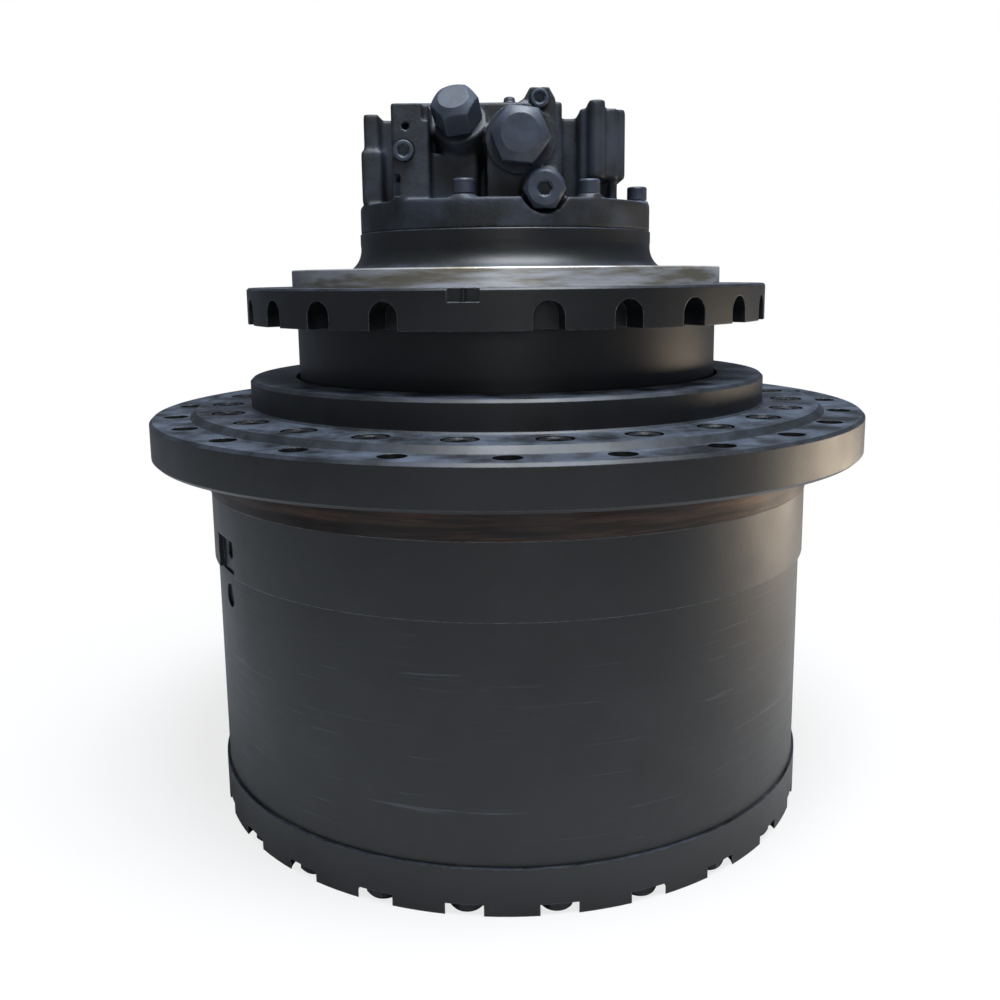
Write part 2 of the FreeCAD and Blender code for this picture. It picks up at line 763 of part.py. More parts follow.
def seal_housing():
    """Ring that closes the hub round the neck and carries the turning seal ring."""
    bottom = upper_bearing_top
    floor = bottom + seal_housing_floor
    top = bottom + seal_housing_height
    inner = seal_ring_inner_radius - seal_room
    wall = neck_radius + seal_skirt_wall
    return turned([
        (inner, bottom),
        (bearing_outer_radius, bottom),
        (bearing_outer_radius, top),
        (wall, top),
        (wall, floor),
        (inner, floor),
    ])


def seal_ring_turning():
    bottom = upper_bearing_top + seal_housing_floor
    return ring(seal_ring_inner_radius, seal_ring_outer_radius, bottom, seal_face)


def seal_ring_fixed():
    return ring(seal_ring_inner_radius, seal_ring_outer_radius, seal_face + face_gap, seal_pocket_top)


# ---- spindle ----
def flare_edge():
    """Arc by which the barrel spreads into its foot, and the arc's upper end."""
    run = barrel_foot_radius - barrel_radius
    start = Vector(barrel_foot_radius, 0, spindle_shoulder)
    middle = Vector(barrel_radius + 0.19 * run, 0, spindle_shoulder + 0.28 * motor_barrel_height)
    end = Vector(barrel_radius, 0, spindle_shoulder + 0.7 * motor_barrel_height)
    return Part.Arc(start, middle, end).toShape(), end


def spindle():
    """Fixed axle of the drum: bearing seats, neck, notched frame flange, frame pilot and motor barrel."""
    skirt_inner = seal_ring_outer_radius + seal_skirt_gap
    skirt_base = upper_bearing_top + seal_skirt_lift
    shoulder = bearing_bore_radius + bearing_race_wall
    bearing_seat = front_bearing_radius + press_gap
    outside = [
        (shaft_opening_radius, spindle_base),
        (bearing_bore_radius, spindle_base),
        (bearing_bore_radius, upper_bearing_top),
        (shoulder, upper_bearing_top),
        (shoulder, seal_pocket_top),
        (skirt_inner, seal_pocket_top),
        (skirt_inner, skirt_base),
        (neck_radius, skirt_base),
        (neck_radius, frame_flange_base),
        (frame_flange_radius, frame_flange_base),
        (frame_flange_radius, frame_face - edge_break),
        (frame_flange_radius - edge_break, frame_face),
        (frame_pilot_radius, frame_face),
        (frame_pilot_radius, spindle_shoulder - joint_break),
        (frame_pilot_radius - joint_break, spindle_shoulder),
        (barrel_foot_radius, spindle_shoulder),
    ]
    inside = [
        (barrel_radius, head_joint - joint_break),
        (barrel_radius - joint_break, head_joint),
        (motor_cavity_radius, head_joint),
        (motor_cavity_radius, motor_shelf),
        (bearing_seat, motor_shelf),
        (bearing_seat, motor_floor),
        (shaft_opening_radius, motor_floor),
        (shaft_opening_radius, spindle_base),
    ]
    flare, flare_end = flare_edge()
    before = Part.makePolygon([Vector(radius, 0, height) for radius, height in outside])
    after = Part.makePolygon([flare_end] + [Vector(radius, 0, height) for radius, height in inside])
    face = Part.Face(Part.Wire(before.Edges + [flare] + after.Edges))
    body = face.revolve(Vector(0, 0, 0), UP, 360)
    return body.cut(frame_pockets() + [index_notch()] + tapped_holes())


def frame_pockets():
    """Arched bolt pockets round the flange rim; one place holds the index notch instead."""
    half = frame_pocket_width / 2
    arch_centre = frame_flange_base + frame_pocket_height - half
    outer = frame_flange_radius + edge_break
    arch = Part.makeCylinder(half, outer - frame_pocket_floor_radius,
                             Vector(frame_pocket_floor_radius, 0, arch_centre), Vector(1, 0, 0))
    lower = box((frame_pocket_floor_radius, outer), (-half, half), (frame_flange_base, arch_centre))
    pocket = fused([arch, lower])
    step = 360.0 / drum_bolt_count
    angles = [FRONT - step / 2 + step * place for place in range(drum_bolt_count)]
    hole = disc(frame_hole_radius, frame_flange_base, frame_face)
    holes = [placed(hole, frame_bolt_circle, angle) for angle in angles]
    return [placed(pocket, 0, angle) for angle in angles[1:]] + holes


def index_notch():
    low = frame_face - index_notch_height
    notch = box((frame_flange_radius - index_notch_depth, frame_flange_radius + edge_break),
                (-index_notch_width / 2, index_notch_width / 2), (low, frame_face))
    return placed(notch, 0, FRONT - 180.0 / drum_bolt_count)


def index_pin():
    return placed(disc(index_pin_radius, frame_face - index_notch_height, frame_face),
                  frame_flange_radius - index_notch_depth / 2, FRONT - 180.0 / drum_bolt_count)


def tapped_holes():
    carrier_hole = disc(carrier_bolt_radius + thread_gap, spindle_base,
                        spindle_base + carrier_bolt_engagement)
    holes = [placed(carrier_hole, carrier_bolt_circle, angle) for angle in carrier_bolt_angles()]
    head_hole = disc(head_bolt_radius + thread_gap, head_joint - head_bolt_engagement, head_joint)
    return holes + [placed(head_hole, head_bolt_circle, angle) for angle in head_bolt_angles]


# ---- motor inside the spindle ----
def belly(radius):
    """Lying cylinder whose lower side is the rocking back of the swash plate."""
    return fore(radius, 0, belly_axis, -swash_radius, swash_radius)


def swash_plate():
    blank = disc(swash_radius, motor_shelf, swash_face).common(belly(swash_belly_radius))
    return blank.cut(disc(shaft_coupling_radius, motor_shelf, swash_face))


def swash_cradle():
    blank = ring(shaft_coupling_radius, swash_radius, motor_shelf, swash_face - swash_cradle_drop)
    return blank.cut(belly(swash_belly_radius + running_gap))


def motor_shaft():
    """Shaft of the hydraulic motor; its sleeve end drives the long shaft."""
    rod = disc(motor_shaft_radius, coupling_top, head_joint + shaft_nose)
    sleeve = disc(shaft_coupling_radius, coupling_base, coupling_top)
    socket = disc(drive_shaft_radius + press_gap, coupling_base, coupling_top - coupling_end_wall)
    return fused([rod, sleeve]).cut(socket)


def shaft_front_bearing():
    return ring(motor_shaft_radius + press_gap, front_bearing_radius, motor_floor, motor_shelf)


def cylinder_block():
    """Barrel with nine bores, each open to the valve plate through a port in its floor."""
    block = ring(motor_shaft_radius + press_gap, cylinder_block_radius, block_base, block_top)
    bore_top = block_top - cylinder_bore_floor
    bore = disc(piston_radius + press_gap, block_base, bore_top)
    port = disc(kidney_half_width, bore_top, block_top)
    return block.cut(row(fused([bore, port]), piston_count, piston_circle))


def pistons():
    """Nine pistons, each on its slipper shoe."""
    shoe = disc(piston_radius + shoe_flange, swash_face + face_gap, swash_face + shoe_height)
    rod = disc(piston_radius, swash_face + shoe_height, block_base + piston_engagement)
    return group(row(shoe.fuse(rod), piston_count, piston_circle))


def brake_plate_row(inner_radius, outer_radius, first_place, count):
    """Every second plate of the parking brake's stack."""
    levels = [brake_stack_base + brake_stack_step * (first_place + 2 * place) for place in range(count)]
    return group([ring(inner_radius, outer_radius, level, level + brake_plate_thickness)
                  for level in levels])


def friction_plates():
    return brake_plate_row(cylinder_block_radius + press_gap, brake_outer_radius, 1, friction_plate_count)


def brake_plates():
    return brake_plate_row(brake_inner_radius, motor_cavity_radius - press_gap, 0, friction_plate_count + 1)


def brake_piston():
    return ring(brake_inner_radius, motor_cavity_radius - running_gap, brake_stack_top,
                brake_stack_top + brake_piston_height)


def brake_springs():
    """Springs that press the brake piston down; their top ends bear on the motor head."""
    spring = ring(brake_spring_radius - brake_spring_wall, brake_spring_radius,
                  brake_stack_top + brake_piston_height, head_joint)
    return group(row(spring, brake_spring_count, (brake_inner_radius + motor_cavity_radius) / 2))


def valve_plate():
    """Port plate between the cylinder block and the head, with two kidney ports."""
    bottom, top = block_top + face_gap, head_joint
    plate = ring(motor_shaft_radius + 2 * valve_plate_margin, cylinder_block_radius - valve_plate_margin,
                 bottom, top)
    slot = ring(piston_circle - kidney_half_width, piston_circle + kidney_half_width, bottom, top)
    bridge = box((-kidney_bridge, kidney_bridge), (-cylinder_block_radius, cylinder_block_radius),
                 (bottom, top))
    return plate.cut(slot.cut(bridge))


# ---- motor head: casting ----
def fore(radius, x, z, front, back):
    """Cylinder lying front to back."""
    return Part.makeCylinder(radius, back - front, Vector(x, front, z), Vector(0, 1, 0))


def standing(left, right, front, back, low, high, rounding=cast_radius):
    """Block of the casting between two heights over the flange's deck, its upright edges rounded."""
    block = box((left, right), (front, back), (head_deck + low, head_deck + high))
    upright = [edge for edge in block.Edges if abs(edge.tangentAt(edge.FirstParameter).z) > 0.5]
    return block.makeFillet(rounding, upright)


def upright_plate(corners, front, depth):
    """Plate that stands on the deck, cut to a polygon of (x, height) corners."""
    points = [Vector(x, front, head_deck + height) for x, height in corners]
    return Part.Face(Part.makePolygon(points + points[:1])).extrude(Vector(0, depth, 0))


def head_flange():
    """Round flange of the head, with a raised seat under each bolt."""
    plate = turned([
        (0, head_joint),
        (head_flange_radius - joint_break, head_joint),
        (head_flange_radius, head_joint + joint_break),
        (head_flange_radius, head_deck - joint_break),
        (head_flange_radius - joint_break, head_deck),
        (0, head_deck),
    ])
    seat = disc(head_bolt_head_radius + head_bolt_room, head_deck, head_deck + head_bolt_seat)
    return [plate] + [placed(seat, head_bolt_circle, angle) for angle in head_bolt_angles]


def valve_pad():
    """Pad of the spool bore: a plate with an ear at its top right and a round boss on its face."""
    rise = 0.65 * valve_boss_radius
    slope = 0.6 * ear_half_width
    crest = ear_height + ear_crest
    corners = [
        (valve_pad_left, 0),
        (valve_pad_left, valve_height),
        (valve_x - rise, valve_height + rise),
        (ear_x - ear_half_width, ear_height),
        (ear_x - slope, crest),
        (ear_x + slope, crest),
        (ear_x + ear_half_width, ear_height),
        (valve_pad_right, valve_pad_shoulder),
        (valve_pad_right, 0),
    ]
    plate_face = valve_face + valve_plate_step
    back = valve_face + valve_pad_depth
    plate = upright_plate(corners, plate_face, back - plate_face)
    return [plate, fore(valve_boss_radius, valve_x, valve_level, valve_face, back)]


def left_side():
    """Plug pad, the column under the relief boss, and the outer lug with the web that carries it."""
    return [
        standing(pad_left, pad_right, pad_face, 0, 0, pad_height),
        standing(pad_right - cast_gap, column_right, column_front, 0, 0, column_height),
        standing(lug_left, lug_right, lug_front, lug_back, 0, lug_height),
        standing(lug_left - lug_step, lug_right + lug_step, lug_front - lug_step, lug_back - lug_step,
                 0, lug_step_height),
        standing(lug_right - cast_gap, web_right, web_front, lug_back - cast_gap, 0, web_height),
    ]


def right_side():
    """Overhanging block with its three upright ribs, on a web and a small strut."""
    web_left, web_back = core_right - cast_gap, block_back - cast_gap
    return [
        standing(web_left, strut_x, web_front, web_back, 0, web_height),
        standing(rib_left + cast_radius, block_right, block_front, block_back, block_foot, block_height),
        standing(rib_left, rib_right, rib_front, 0, 0, block_height),
        standing(outer_rib_left, outer_rib_right, rib_front, 0, block_foot, block_height),
        standing(round_rib_left, round_rib_right, round_rib_front, 0, block_foot, round_rib_height,
                 round_rib_rounding),
        disc(strut_radius, head_deck, head_deck + block_foot, strut_x, strut_y),
    ]


def relief_line(start, length, radius):
    """Cylinder on the tilted axis of the relief bore; distances run outward from the boss's face."""
    x, y, height = relief_seat
    size = math.sqrt(sum(part * part for part in relief_direction))
    seat = [x, y, head_deck + height]
    base = [value + start * part / size for value, part in zip(seat, relief_direction)]
    return pointing(Part.makeCylinder(radius, length), base, relief_direction)


def port_block():
    """Cast head of the motor: valve pads in front, ribs at the side, two flanged ports at the back."""
    core = [
        standing(core_left, core_right, core_front, core_back, 0, core_height),
        standing(-port_wall_half_width, port_wall_half_width, 0, port_face, 0, block_height),
        disc(core_knob_radius, head_deck, head_deck + core_height + core_knob_height, core_knob_x,
             lug_front),
    ]
    bosses = [
        relief_line(-relief_boss_length, relief_boss_length, relief_boss_radius),
        fore(deck_boss_radius, deck_plug_x, head_deck + deck_plug_height, deck_plug_face, core_front),
    ]
    shapes = head_flange() + core + left_side() + right_side() + valve_pad() + bosses
    return fused(shapes).cut(head_bolt_pockets() + head_bores() + port_holes())


def head_bolt_pockets():
    """Hole of each head bolt, with room for its head that is open to the outside of the casting."""
    room = head_bolt_head_radius + head_bolt_room
    low = head_deck + head_bolt_seat
    high = low + head_bolt_head_height + cast_gap
    clear = fused([
        disc(room, low, high, head_bolt_circle),
        box((head_bolt_circle, head_bolt_circle + 2 * room), (-room, room), (low, high)),
        disc(head_bolt_radius + thread_gap, head_joint, low, head_bolt_circle),
    ])
    return [placed(clear, 0, angle) for angle in head_bolt_angles]


def head_bores():
    """Bores of the shaft, spool, relief valve and plugs."""
    deck_plug_level = head_deck + deck_plug_height
    notch_radius = deck_boss_radius + end_gap
    return [
        disc(motor_shaft_radius + running_gap, head_joint, head_joint + shaft_nose + edge_break),
        relief_line(-relief_boss_length, relief_boss_length, relief_bore_radius),
        fore(valve_bore_radius, valve_x, valve_level, valve_face, valve_bore_end),
        fore(ear_plug_radius, ear_x, ear_level, valve_face, valve_face + valve_plate_step + plug_depth),
        fore(pad_plug_radius, pad_plug_x, head_deck + pad_plug_height, pad_face, pad_face + plug_depth),
        fore(pad_hole_radius, pad_hole_x, head_deck + pad_hole_height, pad_face, pad_face + plug_depth),
        box((pad_right - pad_notch_width, pad_right), (pad_face, pad_face + pad_notch_depth),
            (head_deck + pad_height - pad_notch_height, head_deck + pad_height)),
        fore(notch_radius, deck_plug_x, deck_plug_level, -head_flange_radius, deck_plug_face),
        fore(deck_plug_bore, deck_plug_x, deck_plug_level, deck_plug_face, deck_plug_face + deck_plug_depth),
    ]


def port_holes():
    """The two work ports with their bolt holes, their passages from the valve plate, and the drain."""
    holes = [fore(drain_radius, 0, head_deck + drain_height, port_face - drain_depth, port_face)]
    passage_y = math.sqrt(piston_circle ** 2 - port_spread ** 2)
    for x in (-port_spread, port_spread):
        holes.append(fore(port_radius, x, port_level, port_bore_end, port_face))
        holes.append(disc(passage_radius, head_joint, port_level, x, passage_y))
        for across in (-port_bolt_x / 2, port_bolt_x / 2):
            for up in (-port_bolt_z / 2, port_bolt_z / 2):
                holes.append(fore(port_bolt_radius, x + across, port_level + up,
                                  port_face - port_bolt_depth, port_face))
    return holes


# ---- motor head: fittings ----
def head_bolts():
    bolt = socket_screw(head_bolt_head_radius, head_deck + head_bolt_seat, head_bolt_head_height,
                        head_bolt_radius, head_joint - head_bolt_engagement, head_bolt_socket_flats)
    return group([placed(bolt, head_bolt_circle, angle) for angle in head_bolt_angles])


def hex_cap(flats, height, thread_radius, thread_length):
    """Hexagon cap, chamfered to a round end face, above a threaded neck; its seat is at the origin."""
    chamfer = cap_chamfer * flats
    crown = Part.makeCone(cap_corner * flats, cap_end_face * flats, chamfer, Vector(0, 0, height - chamfer))
    envelope = fused([disc(cap_corner * flats, 0, height - chamfer), crown])
    head = hexagon(flats, 0, height).common(envelope)
    return head.fuse(disc(thread_radius - press_gap, -thread_length, 0))


def relief_cap():
    x, y, height = relief_seat
    cap = hex_cap(relief_cap_flats, relief_cap_height, relief_bore_radius, relief_thread_length)
    return pointing(cap, (x, y, head_deck + height), relief_direction)


def spool_cap():
    cap = hex_cap(spool_cap_flats, spool_cap_height, valve_bore_radius, spool_thread_length)
    return pointing(placed(cap, 0, spool_cap_turn), (valve_x, valve_face, valve_level), (0, -1, 0))


def valve_spool():
    """Counterbalance spool: three lands on a stem, in the bore behind its cap."""
    stem = fore(spool_stem_radius, valve_x, valve_level, spool_front, spool_front + spool_length)
    step = (spool_length - spool_land) / 2
    starts = [spool_front + step * place for place in range(3)]
    lands = [fore(valve_bore_radius - press_gap, valve_x, valve_level, start, start + spool_land)
             for start in starts]
    return fused([stem] + lands)


def spool_springs():
    """Springs that centre the spool between its cap and the blind end of the bore."""
    hollow = spool_spring_radius - spool_spring_wall
    spans = [(valve_face + spool_thread_length, spool_front), (spool_front + spool_length, valve_bore_end)]
    return group([fore(spool_spring_radius, valve_x, valve_level, front, back)
                  .cut(fore(hollow, valve_x, valve_level, front, back)) for front, back in spans])


def socket_plug(radius, x, z, face):
    """Round plug with a hexagon socket, its face standing proud of the surface it screws into."""
    body = fore(radius - press_gap, x, z, face - plug_proud, face + plug_depth)
    socket = hexagon(radius, 0, plug_proud + plug_depth / 2)
    return body.cut(pointing(socket, (x, face - plug_proud, z), (0, 1, 0)))


def deck_plug():
    """Hexagon plug with a socket in its end, in a notch of the flange's edge."""
    cap = hex_cap(deck_plug_flats, deck_plug_length, deck_plug_bore, deck_plug_depth)
    socket = hexagon(head_bolt_socket_flats, deck_plug_length - plug_depth, deck_plug_length)
    return pointing(cap.cut(socket), (deck_plug_x, deck_plug_face, head_deck + deck_plug_height), (0, -1, 0))


def head_plugs():
    return group([
        socket_plug(ear_plug_radius, ear_x, ear_level, valve_face + valve_plate_step),
        socket_plug(pad_plug_radius, pad_plug_x, head_deck + pad_plug_height, pad_face),
        deck_plug(),
    ])


# ---- parts list ----
def all_parts():
    parts = {
        "end_cover": end_cover(),
        "cover_bolts": cover_bolts(),
        "cover_plugs": cover_plugs(),
        "thrust_plate": thrust_plate(),
        "ring_gear": ring_gear(),
        "hub": hub(),
        "hub_screws": hub_screws(),
        "side_plugs": side_plugs(),
        "bearing_outer_races": bearing_outer_races(),
        "seal_housing": seal_housing(),
        "seal_ring_turning": seal_ring_turning(),
        "bearing_inner_races": bearing_inner_races(),
        "lower_bearing_rollers": bearing_rollers(lower_bearing_base),
        "upper_bearing_rollers": bearing_rollers(upper_bearing_base),
        "bearing_nut": bearing_nut(),
        "seal_ring_fixed": seal_ring_fixed(),
        "spindle": spindle(),
        "index_pin": index_pin(),
        "output_carrier": output_carrier(),
        "carrier_bolts": carrier_bolts(),
        "second_pins": second_pins(),
        "second_sun": second_sun(),
        "first_carrier": first_carrier(),
        "first_pins": first_pins(),
        "drive_shaft": drive_shaft(),
        "motor_shaft": motor_shaft(),
        "shaft_front_bearing": shaft_front_bearing(),
        "cylinder_block": cylinder_block(),
        "pistons": pistons(),
        "swash_plate": swash_plate(),
        "swash_cradle": swash_cradle(),
        "friction_plates": friction_plates(),
        "brake_plates": brake_plates(),
        "brake_piston": brake_piston(),
        "brake_springs": brake_springs(),
        "valve_plate": valve_plate(),
        "port_block": port_block(),
        "head_bolts": head_bolts(),
        "relief_cap": relief_cap(),
        "spool_cap": spool_cap(),
        "valve_spool": valve_spool(),
        "spool_springs": spool_springs(),
        "head_plugs": head_plugs(),
        "first_planet_bushes": first_planet_bushes(),
        "second_planet_bushes": second_planet_bushes(),
    }
    for letter, wheel in zip("abc", first_planets()):
        parts["first_planet_" + letter] = wheel
    for letter, wheel in zip("abcd", second_planets()):
        parts["second_planet_" + letter] = wheel
    return parts


os.makedirs("parts", exist_ok=True)
for node, shape in all_parts().items():
    shape.exportStep("parts/" + node + ".step")
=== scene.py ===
import json
import math

import bmesh
import bpy
from mathutils import Matrix, Vector


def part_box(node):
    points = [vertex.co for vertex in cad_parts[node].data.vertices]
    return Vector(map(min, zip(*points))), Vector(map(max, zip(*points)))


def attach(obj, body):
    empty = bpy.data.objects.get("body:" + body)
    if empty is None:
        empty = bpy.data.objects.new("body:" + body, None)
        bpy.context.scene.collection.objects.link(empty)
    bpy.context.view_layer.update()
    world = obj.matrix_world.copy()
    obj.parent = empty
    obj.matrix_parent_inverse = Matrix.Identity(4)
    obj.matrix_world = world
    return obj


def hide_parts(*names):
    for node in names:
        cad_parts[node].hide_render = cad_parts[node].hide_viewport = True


# Excavator track final drive, dressed over its CAD solids. Metres, in the CAD frame:
# +Z up the drum's axis from the cover to the motor head, -Y towards the valve side of the head.

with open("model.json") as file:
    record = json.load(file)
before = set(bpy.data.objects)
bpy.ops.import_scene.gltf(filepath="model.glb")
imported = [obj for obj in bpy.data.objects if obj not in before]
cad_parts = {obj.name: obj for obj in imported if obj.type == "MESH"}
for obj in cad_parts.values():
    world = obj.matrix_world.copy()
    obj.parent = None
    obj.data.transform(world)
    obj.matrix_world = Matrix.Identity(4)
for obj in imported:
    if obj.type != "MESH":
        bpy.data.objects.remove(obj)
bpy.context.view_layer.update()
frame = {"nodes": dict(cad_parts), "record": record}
nodes = frame["nodes"]

FRONT = math.radians(-90.0)

# ---- turned and cut sizes, metres ----------------------------------------------------------------
SCREWS = 24                     # drum screws, and cover bolts
SCREW_CIRCLE = 0.304
SCREW_PHASE = math.radians(7.5)
SCREW_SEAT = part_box("hub_screws")[1][2] - 0.020
NOTCH_ROOF = 0.0105             # seat of the cover bolts
PILOT_BAND = (0.339, 0.375)     # bare register under the sprocket flange
FRAME_FACE, FRAME_PILOT_TOP = 0.5455, 0.563
HEAD_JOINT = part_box("port_block")[0][2]
HEAD_DECK = HEAD_JOINT + 0.0285
VALVE_FACE, VALVE_PLATE, PAD_FACE, PORT_FACE = -0.125, -0.122, -0.120, 0.112
HEAD_BOLT_CIRCLE, HEAD_BOLT_SEAT = 0.142, HEAD_DECK + 0.004
HEAD_BOLT_TURNS = (-44.5, -16.0, 35.5, 82.0, 125.0, 165.0, 205.0, -94.0)    # degrees from the front
RELIEF_SEAT = (-0.0443, -0.100, HEAD_DECK + 0.076)
RELIEF_LEAN = (-0.14, -0.78, 0.61)
SPOOL_SEAT = (0.015, VALVE_FACE, HEAD_DECK + 0.056)
EAR_PLUG = (0.034, VALVE_PLATE, HEAD_DECK + 0.093)
PAD_PLUG = (-0.097, PAD_FACE, HEAD_DECK + 0.046)
DECK_PLUG = (0.0375, -0.128, HEAD_DECK + 0.007)
CAP_NECK = 0.0139
SIDE_UP, SPOOL_TURN = math.radians(30.0), math.radians(7.0)    # hexagon with a side up, turned by hand


# ---- materials: arithmetic on sockets ------------------------------------------------------------
class Signal:
    """A socket of a finish's node sheet, so that masks read as ordinary arithmetic."""

    def __init__(self, sheet, socket):
        self.sheet = sheet
        self.socket = socket

    def maths(self, operation, first, second=0.0):
        return self.sheet.node("ShaderNodeMath", {"operation": operation}, {0: first, 1: second})

    def __add__(self, other):
        return self.maths("ADD", self, other)

    def __sub__(self, other):
        return self.maths("SUBTRACT", self, other)

    def __rsub__(self, other):
        return self.maths("SUBTRACT", other, self)

    def __mul__(self, other):
        return self.maths("MULTIPLY", self, other)

    __radd__ = __add__

    def ramp(self, low, high):
        """0 below low, 1 above high, smooth between."""
        sockets = {"Value": self, "From Min": low, "From Max": high}
        return self.sheet.node("ShaderNodeMapRange", {"interpolation_type": "SMOOTHSTEP"}, sockets)


class Sheet:
    """The node sheet of one finish."""

    def __init__(self, tree):
        self.tree = tree

    def node(self, kind, settings=None, sockets=None, out=0):
        made = self.tree.nodes.new(kind)
        for key, value in (settings or {}).items():
            setattr(made, key, value)
        for key, value in (sockets or {}).items():
            if isinstance(value, Signal):
                self.tree.links.new(value.socket, made.inputs[key])
            else:
                made.inputs[key].default_value = value
        return Signal(self, made.outputs[out]) if made.outputs else made

    def place(self):
        """Position on the piece in metres; it turns with the piece."""
        return self.node("ShaderNodeTexCoord", out="Object")

    def along(self, axis):
        return self.node("ShaderNodeSeparateXYZ", {}, {0: self.place()}, out="XYZ".index(axis))

    def scaled(self, x, y, z):
        sockets = {0: self.place(), 1: (x, y, z)}
        return self.node("ShaderNodeVectorMath", {"operation": "MULTIPLY"}, sockets)

    def noise(self, scale, detail=4.0, roughness=0.55, where=None):
        sockets = {"Vector": where or self.place(), "Scale": scale, "Detail": detail,
                   "Roughness": roughness}
        return self.node("ShaderNodeTexNoise", {}, sockets)

    def upward(self):
        """1 on level faces that look up, 0 on walls."""
        normal = self.node("ShaderNodeNewGeometry", out="Normal")
        return self.node("ShaderNodeSeparateXYZ", {}, {0: normal}, out="Z").ramp(0.55, 0.95)

    def softened(self, radius):
        """Normal with every edge rounded to a radius."""
        return self.node("ShaderNodeBevel", {"samples": 6}, {"Radius": radius})

    def edges(self, radius):
        """1 along edges, 0 on open faces."""
        normal = self.node("ShaderNodeNewGeometry", out="Normal")
        sockets = {0: self.softened(radius), 1: normal}
        likeness = self.node("ShaderNodeVectorMath", {"operation": "DOT_PRODUCT"}, sockets, out="Value")
        return (1.0 - likeness).ramp(0.02, 0.22)

    def between(self, value, low, high, soft):
        """1 from low to high, 0 outside, with soft ends."""
        return value.ramp(low - soft, low + soft) * (1.0 - value.ramp(high - soft, high + soft))

    def blend(self, mask, first, second):
        return self.node("ShaderNodeMix", {"data_type": "RGBA"}, {0: mask, 6: first, 7: second}, out=2)


def rgb(red, green, blue):
    """Colour written on a scale of 0 to 255, as the linear value that a shader takes."""
    steps = [value / 255.0 for value in (red, green, blue)]
    linear = [s / 12.92 if s <= 0.04045 else ((s + 0.055) / 1.055) ** 2.4 for s in steps]
    return (*linear, 1.0)


def finish(name, build, **constants):
    """New material: build() returns what varies over the surface, constants go on the shader's sockets."""
    material = bpy.data.materials.new(name)
    material.use_nodes = True
    shader = material.node_tree.nodes["Principled BSDF"]
    sheet = Sheet(material.node_tree)
    for socket, value in constants.items():
        shader.inputs[socket.replace("_", " ")].default_value = value
    for socket, value in build(sheet).items():
        sheet.tree.links.new(value.socket, shader.inputs[socket])
    return material


def relief(sheet, height, distance, strength=1.0, radius=0.0012):
    """Bump from a height mask, over edges rounded to a radius."""
    sockets = {"Strength": strength, "Distance": distance, "Height": height,
               "Normal": sheet.softened(radius)}
    return sheet.node("ShaderNodeBump", {}, sockets)


# ---- materials: the finishes of the drive --------------------------------------------------------
PAINT_DARK = rgb(12, 13, 14)
PAINT_LIGHT = rgb(24, 25, 26)
PAINT_WORN = rgb(104, 109, 118)
# pale blue-grey of level faces: a dusting together with a painted highlight of the overhead lamp
DUSTING_AND_TOP_HIGHLIGHT = rgb(122, 133, 152)
FILM = rgb(58, 66, 80)
RUST_DARK = rgb(30, 24, 22)
RUST_LIGHT = rgb(86, 66, 54)
BARE_METAL = rgb(222, 223, 226)
BARE_OLIVE = rgb(150, 142, 124)


def paint_colour(sheet, dusting_and_highlight=0.48, wear=0.75):
    """Semi-gloss black paint: mottled, paler on its edges; level faces take a pale blue-grey that is partly
    a dusting and partly a painted highlight of the overhead lamp.
    """
    cloud = sheet.noise(9.0, 5.0, 0.6)
    fleck = sheet.noise(160.0, 3.0)
    colour = sheet.blend(cloud.ramp(0.35, 0.7), PAINT_DARK, PAINT_LIGHT)
    # painted highlight on faces that look up, mixed with a dusting: pale blue-grey where the overhead lamp
    # would catch them
    top_highlight_and_dusting = sheet.upward() * sheet.noise(22.0, 5.0, 0.65).ramp(0.30, 0.75) * dusting_and_highlight
    colour = sheet.blend(top_highlight_and_dusting, colour, DUSTING_AND_TOP_HIGHLIGHT)
    scuffed = sheet.edges(0.0016) * fleck.ramp(0.35, 0.6) * wear
    return sheet.blend(scuffed, colour, PAINT_WORN)


def paint_skin(sheet, grain=210.0):
    """Orange peel with a few wider waves."""
    return sheet.noise(grain, 2.0) * 0.7 + sheet.noise(38.0, 2.0) * 0.3


def paint(sheet):
    return {
        "Base Color": paint_colour(sheet),
        "Roughness": 0.34 + sheet.noise(14.0, 4.0) * 0.26,
        "Normal": relief(sheet, paint_skin(sheet), 0.0004, 0.5),
    }


def cast_paint(sheet):
    """The same paint over a sand casting: coarser skin, a heavier dusting and painted highlight on level
    faces.
    """
    height = sheet.noise(330.0, 3.0, 0.6) * 0.6 + sheet.noise(75.0, 3.0) * 0.4
    hazed = sheet.noise(17.0, 5.0, 0.6).ramp(0.38, 0.68) * 0.5
    return {
        "Base Color": sheet.blend(hazed, paint_colour(sheet, dusting_and_highlight=0.6, wear=0.85), FILM),
        "Roughness": 0.42 + sheet.noise(30.0, 4.0) * 0.24,
        "Normal": relief(sheet, height, 0.0011, 0.55, radius=0.0022),
    }


def cap_paint(sheet):
    """Thin paint on the valve caps and plugs, hazed all over and rubbed where a spanner grips."""
    hazed = 0.45 + sheet.noise(55.0, 5.0, 0.6).ramp(0.35, 0.7) * 0.4
    return {
        "Base Color": sheet.blend(hazed, paint_colour(sheet, dusting_and_highlight=0.6, wear=0.9), FILM),
        "Roughness": 0.36 + sheet.noise(60.0, 4.0) * 0.22,
        "Normal": relief(sheet, paint_skin(sheet, 420.0), 0.0003, 0.5, radius=0.0009),
    }


def turning_marks(sheet, pitch=1500.0):
    """Fine rings left by the lathe."""
    return sheet.noise(1.0, 2.0, 0.5, where=sheet.scaled(3.0, 3.0, pitch))


